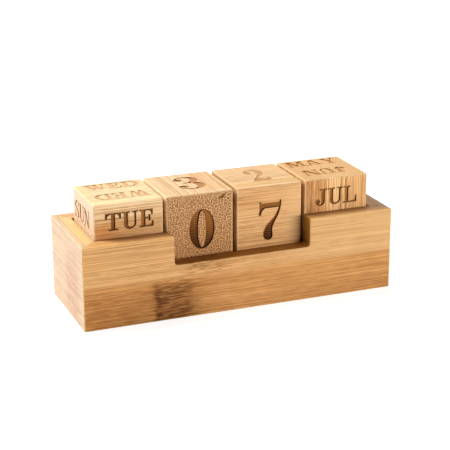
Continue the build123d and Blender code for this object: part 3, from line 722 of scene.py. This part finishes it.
def laser_burn(tree, colour, height):
    """Chars the wood where the laser went: a brown floor, darker at its rim, towards
    the lower left of the face and in raster lines, and a faint tan halo of soot."""
    read = {key: add(tree, "ShaderNodeAttribute", attribute_name=key).outputs["Fac"] for key in BURN_KEYS}
    enough = add(tree, "ShaderNodeMath", {0: read["power"], 1: BURN_EDGE}, operation="MULTIPLY")
    inside = add(tree, "ShaderNodeMapRange", {"Value": read["burnt"], "From Max": enough})
    charred = add(tree, "ShaderNodeMapRange", {"Value": read["power"], "To Min": FAINT, "To Max": 1.0})
    charred = add(tree, "ShaderNodeMath", {0: inside, 1: charred}, operation="MULTIPLY")
    rim = add(tree, "ShaderNodeMapRange",
              {"Value": read["soot"], "From Max": RIM_WIDTH, "To Min": 1.0, "To Max": 0.0})

    # how dark the floor is: raster lines over a slope towards the lower left
    phase = add(tree, "ShaderNodeMath", {0: read["scan"], 1: 2 * math.pi / RASTER}, operation="MULTIPLY")
    line = add(tree, "ShaderNodeMath", {0: phase}, operation="SINE")
    line = add(tree, "ShaderNodeMapRange", {"Value": line, "From Min": -RASTER_EDGE, "From Max": RASTER_EDGE})
    slope = add(tree, "ShaderNodeMapRange",
                {"Value": read["scan"], "From Min": -SCAN_REACH, "From Max": SCAN_REACH,
                 "To Min": SCAN_DARK[0], "To Max": SCAN_DARK[1]})
    slope = add(tree, "ShaderNodeMath", {0: read["sweep"], 1: SWEEP_DARK, 2: slope}, operation="MULTIPLY_ADD")
    dark = add(tree, "ShaderNodeMath", {0: line, 1: RASTER_DARK, 2: slope}, operation="MULTIPLY_ADD",
               use_clamp=True)

    light_char, dark_char = (linear(tone) for tone in CHAR_TONES)
    char = add(tree, "ShaderNodeMix", {"Factor": dark, "A_Color": light_char, "B_Color": dark_char},
               data_type="RGBA")
    char = add(tree, "ShaderNodeMix", {"Factor": rim, "A_Color": char, "B_Color": linear(RIM_TONE)},
               data_type="RGBA")
    char = add(tree, "ShaderNodeMix",
               {"Factor": read["power"], "A_Color": linear(SCORCH_TONE), "B_Color": char}, data_type="RGBA")
    halo = add(tree, "ShaderNodeMath", {0: rim, 1: read["power"]}, operation="MULTIPLY")
    halo = add(tree, "ShaderNodeMath", {0: halo, 1: HALO}, operation="MULTIPLY")
    colour = add(tree, "ShaderNodeMix", {"Factor": halo, "A_Color": colour, "B_Color": linear(HALO_TONE)},
                 data_type="RGBA")
    colour = add(tree, "ShaderNodeMix", {"Factor": charred, "A_Color": colour, "B_Color": char},
                 data_type="RGBA")
    height = add(tree, "ShaderNodeMath", {0: line, 1: inside, 2: height}, operation="MULTIPLY_ADD")
    rough = add(tree, "ShaderNodeMapRange",
                {"Value": inside, "To Min": CHAR_ROUGH[0], "To Max": CHAR_ROUGH[1]})
    return colour, height, rough


CUBE_STRIP = (7.0, 20.0)     # mm, thickness and width
CUBE_SEED = 5.0              # of the first cube
CUBE_EDGE = 1.0              # mm, reach of the pale edges of a cube: painted highlight, partly sanding wear

# Corner is a strip's corner, in mm from the cube's lowest corner. Grain is what differs
# from GRAIN. Power is the laser power of each face, where it isn't OTHER_POWER. Checks
# are drying checks, as lens_check() takes them, and areas are as patch() takes them.
CUBES = {
    "weekday_cube": {
        "body": "weekday", "order": "XZY", "corner": (0, -3, 27.25),
        "tones": ("#f8ddae", "#e0bc88", "#e3cbb6"), "grain": {"Bundles": 0.35, "Lines": 0.35},
        "power": {"front": 0.95, "top": 0.25, "left": 0.35}, "checks": {},
        "areas": (
            # the front in three steps down from its top edge, and its lower left
            # the first step darkens every face below the top, so the top stays paler: partly its own paler
            # wood, partly painted light on the top
            ((0.2, 0.8, 50, 60), (-40, 7.4, 0.2), "#fff7f6", 1.0, 0.0, 0.0, "Y"),
            ((0.2, 0.8, 50, 60), (-40, 3.5, 2.0), "#f7f0e9", 1.0, 0.0, 0.0, "Y"),
            ((0.2, 0.8, 50, 60), (-40, -0.8, 1.6), "#ecdbc3", 1.0, 0.0, 0.0, "Y"),
            ((0.2, 0.8, 6, 18), (-40, -2.5, 1.5), "#f0dbc0", 1.0, 0.3, 8.0, "Y"),
            # the right part of the front, a little browner
            ((22, 30, 50, 60), (-40, 7.0, 0.5), "#dcb686", 0.15, 0.0, 0.0, "Y", "MIX"),
            # a dark stain along the glue joint, at the left
            ((0.1, 0.5, 11, 20), (-0.35, 0.3, 0.12), "#a98c6c", 1.0, 0.2, 3.0, "Y"),
        ),
    },
    "tens_cube": {
        "body": "tens", "order": "YZX", "corner": (7.5, 0, -3.5),
        "tones": ("#eecea5", "#d3ab77", "#cc9459"), "grain": {"Bundles": 1.0, "Lines": 0.2},
        "power": {"front": 1.0, "top": 0.5},
        "checks": {"front": [(11.7, 14.7, 1.9, 0.75, math.radians(28))]},
        "areas": (
            # the lower half, and the right part behind the front face
            ((-10, -5, 50, 60), (-40, 20, 9), "#faf2e2", 1.0, 0.0, 0.0, "Y"),
            ((2, 4, 50, 60), (14, 45, 3), "#fef2e7", 1.0, 0.0, 3.0),
        ),
    },
    "units_cube": {
        "body": "units", "order": "XZY", "corner": (0, -6, 0.6),
        "tones": ("#f2cd9b", "#d8a976", "#c99a64"), "grain": {"Bundles": 0.6, "Lines": 0.35},
        "power": {"front": 1.0, "top": 0.22}, "checks": {},
        "areas": (
            # the front below its top edge, its lower part and its yellower right side
            # the first darkens every face below the top, so the top stays paler: partly its own paler wood,
            # partly painted light on the top
            ((0.3, 1.2, 50, 60), (-40, 34.0, 0.3), "#f3e1ca", 1.0, 0.0, 0.0, "Y"),
            ((0.3, 1.2, 50, 60), (-40, 12, 7), "#f8f8f3", 1.0, 0.0, 0.0, "Y"),
            ((22, 32, 50, 60), (4, 33, 4), "#e8bc83", 0.4, 0.0, 4.0, "Y", "MIX"),
            # on the top, a greyer band at the left and a yellower one along the front
            ((-9, -5, 8, 18), (24.5, 29.5, 1.5), "#efe9df", 1.0, 0.2, 3.0, "Y"),
            ((-9, -5, 50, 60), (7.5, 14, 1.5), "#fdf7e6", 1.0, 0.0, 0.0),
        ),
    },
    "month_cube": {
        "body": "month", "order": "ZXY", "corner": (4.5, -6, 0),
        "tones": ("#f5c486", "#cb935a", "#f7ca8b"), "grain": {"Bundles": 0.5, "Lines": 0.6},
        "power": {"front": 0.85, "top": 0.42}, "checks": {},
        "areas": (
            # below the top face: the darker left strips, the warm right ones, one greyer among them
            ((-9, -5, 34.6, 35.2), (-4.0, 7, 2.0), "#e1cdb8", 1.0, 0.35, 0.0, "Y"),
            ((-9, -5, 34.6, 35.2), (20, 40, 5.0), "#eab26d", 0.35, 0.0, 0.0, "Y", "MIX"),
            ((-9, -5, 34.6, 35.2), (21.0, 29.0, 0.5), "#f5f1f0", 1.0, 0.0, 0.0, "Y"),
        ),
    },
}

for number, (name, cube) in enumerate(CUBES.items()):
    low, high = (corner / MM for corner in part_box(name))
    corner = [c + shift for c, shift in zip(low, cube["corner"])]
    material, tree, place, wood = bamboo_start(
        "sanded_bamboo_" + name, cube["order"], corner, CUBE_STRIP, CUBE_SEED + number, cube["tones"],
        Spread=0.3, Streaks=0.8, Fibres=6.5, Joints=0.3, **cube["grain"])
    colour = wood["Color"]
    for area in cube["areas"]:
        colour = patch(tree, colour, place, *area)
    # pale edges: painted highlight where the light catches them, partly sanding wear
    colour = edge_highlight_and_wear(tree, colour, low, high, CUBE_EDGE, tint="#f4d3a2", strength=0.4)
    colour, height, rough = laser_burn(tree, colour, wood["Height"])
    sanded_finish(tree, colour, height, rough)
    piece = engraved_cube(name, nodes[name], material, cube["power"], cube["checks"])
    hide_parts(name)
    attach(piece, cube["body"])

# ---- View, light and table -----------------------------------------------------------
# A white table and a white room: a broad lamp high on the left and behind, a weaker one
# overhead and a low wide one in front. The camera stands in front, at the left, and
# looks down on the cubes.

EYE = (-0.2496, -0.63056, 0.2630)        # m
AZIMUTH = math.radians(-21.713)
ELEVATION = math.radians(18.550)
ROLL = math.radians(-0.142)
FOCAL = 112.55               # mm
SENSOR = 36                  # mm

ahead = Vector((-math.sin(AZIMUTH) * math.cos(ELEVATION), math.cos(AZIMUTH) * math.cos(ELEVATION),
                -math.sin(ELEVATION)))
camera_data = bpy.data.cameras.new("camera")
camera_data.lens = FOCAL
camera_data.sensor_width = SENSOR
camera = bpy.data.objects.new("camera", camera_data)
turn = ahead.to_track_quat("-Z", "Y").to_matrix() @ Matrix.Rotation(ROLL, 3, "Z")
camera.matrix_world = Matrix.Translation(EYE) @ turn.to_4x4()
scene.collection.objects.link(camera)
scene.camera = camera

LAMP_DISTANCE = 1.0          # m
LAMPS = {                    # direction to the lamp, width and height in m, watts
    "softbox": ((-0.62, 0.29, 0.73), 0.36, 0.36, 13.0),
    "ceiling_lamp": ((0.10, 0.32, 0.94), 0.30, 0.30, 2.4),
    "low_front_lamp": ((0.50, -0.85, 0.10), 0.7, 0.15, 8.0),
}

for name, (toward, width, height, watts) in LAMPS.items():
    lamp_data = bpy.data.lights.new(name, "AREA")
    lamp_data.shape = "RECTANGLE"
    lamp_data.size = width
    lamp_data.size_y = height
    lamp_data.energy = watts
    lamp = bpy.data.objects.new(name, lamp_data)
    direction = Vector(toward).normalized()
    turn = direction.to_track_quat("Z", "Y").to_matrix().to_4x4()
    lamp.matrix_world = Matrix.Translation(direction * LAMP_DISTANCE) @ turn
    scene.collection.objects.link(lamp)

ROOM_LIGHT = 0.03            # what the room gives to the object; it is seen as plain white

world = bpy.data.worlds.new("white_room")
world.use_nodes = True
tree = world.node_tree
tree.nodes.clear()
path = add(tree, "ShaderNodeLightPath").outputs
seen = add(tree, "ShaderNodeMath", {0: path["Is Camera Ray"], 1: path["Is Glossy Ray"]},
           operation="MAXIMUM")
seen = add(tree, "ShaderNodeMath", {0: seen, 1: path["Is Transmission Ray"]}, operation="MAXIMUM")
level = add(tree, "ShaderNodeMapRange", {"Value": seen, "To Min": ROOM_LIGHT, "To Max": 1.0})
sky = add(tree, "ShaderNodeBackground", {"Color": (1, 1, 1, 1), "Strength": level})
add(tree, "ShaderNodeOutputWorld", {"Surface": sky})
scene.world = world

TABLE_HALF = 3.0             # m
TABLE_GLOW = 0.85            # white that the camera sees whatever the light
TABLE_WHITE = (0.86, 0.86, 0.86, 1)      # what the table throws back on the object
TABLE_SHADED = (0.55, 0.57, 0.60, 1)     # added to the glow, so that the shadow shows

table_mesh = bpy.data.meshes.new("white_table")
table_mesh.from_pydata([(x * TABLE_HALF, y * TABLE_HALF, 0) for x, y in ((-1, -1), (1, -1), (1, 1), (-1, 1))],
                       [], [(0, 1, 2, 3)])
table = bpy.data.objects.new("white_table", table_mesh)
scene.collection.objects.link(table)
material = bpy.data.materials.new("matt_white_table")
material.use_nodes = True
tree = material.node_tree
tree.nodes.clear()
path = add(tree, "ShaderNodeLightPath").outputs
glow = add(tree, "ShaderNodeEmission", {"Color": (1, 1, 1, 1), "Strength": TABLE_GLOW})
matt = add(tree, "ShaderNodeBsdfDiffuse", {"Color": TABLE_WHITE})
shaded = add(tree, "ShaderNodeBsdfDiffuse", {"Color": TABLE_SHADED})
both = add(tree, "ShaderNodeAddShader", {0: glow, 1: shaded})
mixed = add(tree, "ShaderNodeMixShader", {0: path["Is Camera Ray"], 1: matt, 2: both})
add(tree, "ShaderNodeOutputMaterial", {"Surface": mixed})
table_mesh.materials.append(material)

scene.view_settings.view_transform = "Standard"
